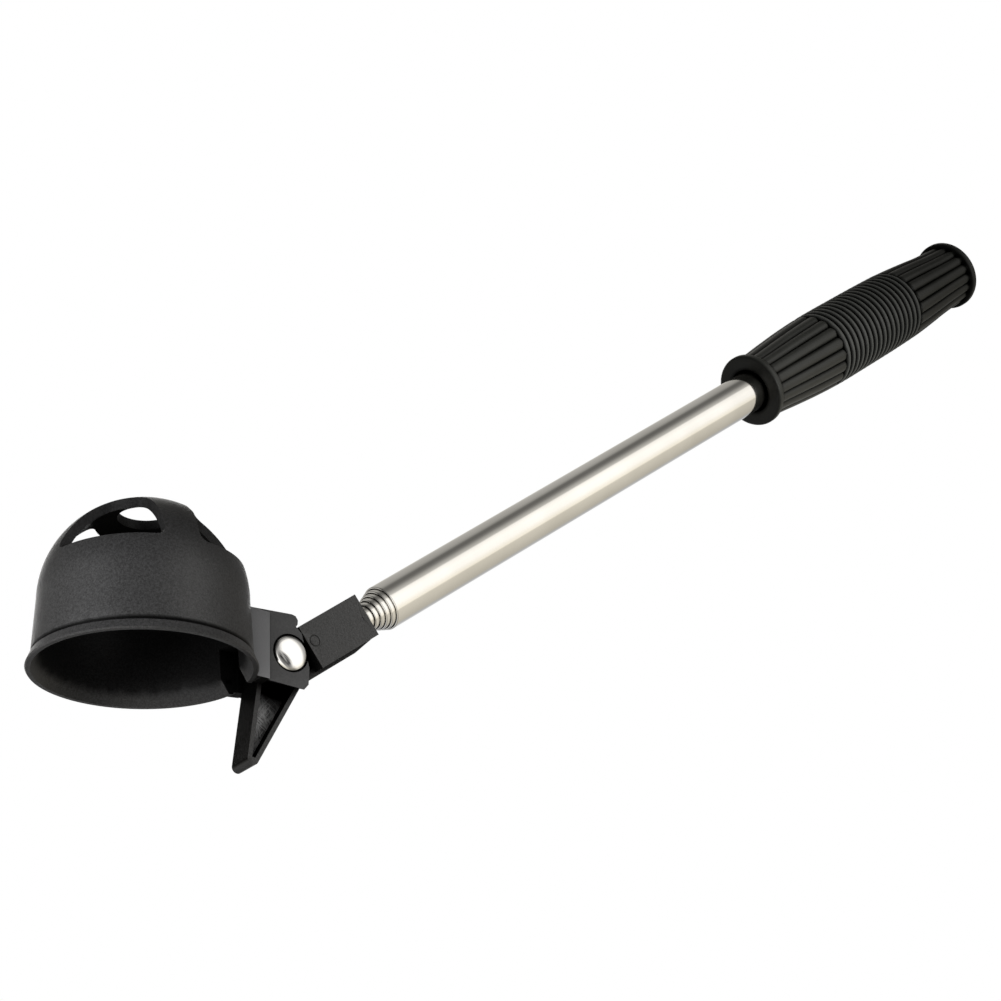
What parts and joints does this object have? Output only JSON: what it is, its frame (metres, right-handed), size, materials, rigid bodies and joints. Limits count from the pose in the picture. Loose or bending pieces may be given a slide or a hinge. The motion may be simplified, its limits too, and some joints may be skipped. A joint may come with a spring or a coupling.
{
  "type": "golf ball retriever",
  "caption": "Telescopic golf ball retriever: ribbed rubber grip, nested steel tubes and a hinged domed scoop whose fixed tongue traps the ball.",
  "frame": {"origin": "centre of the grip's butt face, on the shaft's axis", "axes": "+X along the shaft from the grip to the scoop, +Z towards the side of the scoop's dome, Y along the scoop's hinge"},
  "size_m": [0.3817, 0.0574, 0.0754],
  "materials": {
    "scoop_plastic": "fine-textured black moulded plastic",
    "arm_plastic": "fine-textured black moulded plastic, rougher in the web",
    "grip_rubber": "satin black rubber",
    "tube_steel": "drawn stainless tube, lightly polished",
    "rivet_chrome": "polished nickel plate",
    "sleeve_brass": "plain sheet",
    "plug_plastic": "plain moulded",
    "pin_steel": "black oxide"
  },
  "bodies": {
    "handle": {"grip": "grip_rubber", "tube_1": "tube_steel", "tube_end_plug": "plug_plastic"},
    "stage_2": {"tube_2": "tube_steel", "friction_sleeve_2": "sleeve_brass"},
    "stage_3": {"tube_3": "tube_steel", "friction_sleeve_3": "sleeve_brass"},
    "stage_4": {"tube_4": "tube_steel", "friction_sleeve_4": "sleeve_brass"},
    "stage_5": {"tube_5": "tube_steel", "friction_sleeve_5": "sleeve_brass"},
    "stage_6": {"tube_6": "tube_steel", "friction_sleeve_6": "sleeve_brass"},
    "stage_7": {"tube_7": "tube_steel", "friction_sleeve_7": "sleeve_brass"},
    "stage_8": {"friction_sleeve_8": "sleeve_brass"},
    "head_swivel": {"tube_8": "tube_steel", "hinge_arm": "arm_plastic", "arm_pin": "pin_steel"},
    "scoop": {"scoop_cup": "scoop_plastic", "hinge_rivet": "rivet_chrome", "rivet_cap": "rivet_chrome"}
  },
  "joints": [
    {"name": "tube_slide_2", "type": "slide", "parent": "handle", "child": "stage_2", "axis": [1, 0, 0], "range_m": [0, 0.23]},
    {"name": "tube_slide_3", "type": "slide", "parent": "stage_2", "child": "stage_3", "axis": [1, 0, 0], "range_m": [0, 0.23]},
    {"name": "tube_slide_4", "type": "slide", "parent": "stage_3", "child": "stage_4", "axis": [1, 0, 0], "range_m": [0, 0.23]},
    {"name": "tube_slide_5", "type": "slide", "parent": "stage_4", "child": "stage_5", "axis": [1, 0, 0], "range_m": [0, 0.23]},
    {"name": "tube_slide_6", "type": "slide", "parent": "stage_5", "child": "stage_6", "axis": [1, 0, 0], "range_m": [0, 0.23]},
    {"name": "tube_slide_7", "type": "slide", "parent": "stage_6", "child": "stage_7", "axis": [1, 0, 0], "range_m": [0, 0.23]},
    {"name": "tube_slide_8", "type": "slide", "parent": "stage_7", "child": "stage_8", "axis": [1, 0, 0], "range_m": [0, 0.23]},
    {"name": "tube_swivel", "type": "hinge", "parent": "stage_8", "child": "head_swivel", "pos_m": [0.3, 0, 0], "axis": [1, 0, 0], "continuous": true},
    {"name": "scoop_hinge", "type": "hinge", "parent": "head_swivel", "child": "scoop", "pos_m": [0.3227, 0, 0.0018], "axis": [0, 1, 0], "range_deg": [0, 42]}
  ]
}
